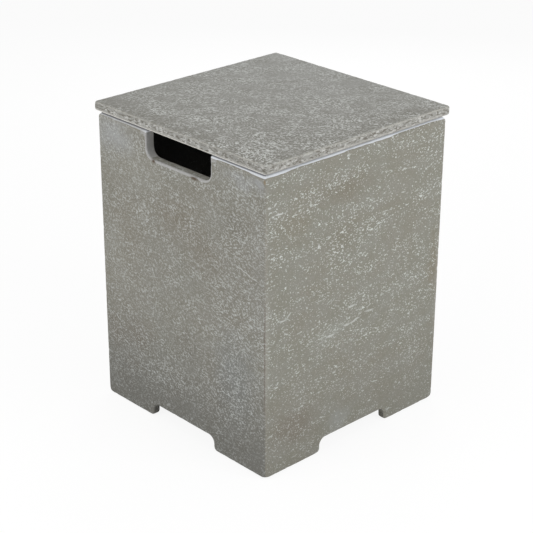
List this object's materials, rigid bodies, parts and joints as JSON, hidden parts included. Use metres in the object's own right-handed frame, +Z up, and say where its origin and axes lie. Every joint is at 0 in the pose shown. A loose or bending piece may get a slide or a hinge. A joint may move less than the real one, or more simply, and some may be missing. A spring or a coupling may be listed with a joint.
{
  "type": "propane tank cover table",
  "caption": "Square cast-concrete shell that hides an upright gas cylinder, with rim slots for lifting, hose notches at the ground and a lift-off lid as the table top.",
  "frame": {"origin": "middle of the square footprint, on the ground under the foot pads", "axes": "+Z up, -Y the front wall with a lifting slot, +Y the rear wall with the other slot, +X the plain right wall"},
  "size_m": [0.406, 0.406, 0.533],
  "materials": {
    "shell_concrete": "matt cast glass-fibre concrete with a brushed pale fleck",
    "lid_concrete": "matt cast glass-fibre concrete with a dense pale fleck",
    "pad_rubber": "matt black"
  },
  "bodies": {
    "cover": {"cover_shell": "shell_concrete", "foot_pad_front_left": "pad_rubber", "foot_pad_front_right": "pad_rubber", "foot_pad_rear_right": "pad_rubber", "foot_pad_rear_left": "pad_rubber"},
    "lid": {"lid_slab": "lid_concrete", "lid_pad_front_left": "pad_rubber", "lid_pad_front_right": "pad_rubber", "lid_pad_rear_right": "pad_rubber", "lid_pad_rear_left": "pad_rubber"}
  },
  "joints": [
    {"name": "lid_lift", "type": "slide", "parent": "cover", "child": "lid", "axis": [0, 0, 1], "range_m": [0, 0.15]}
  ]
}
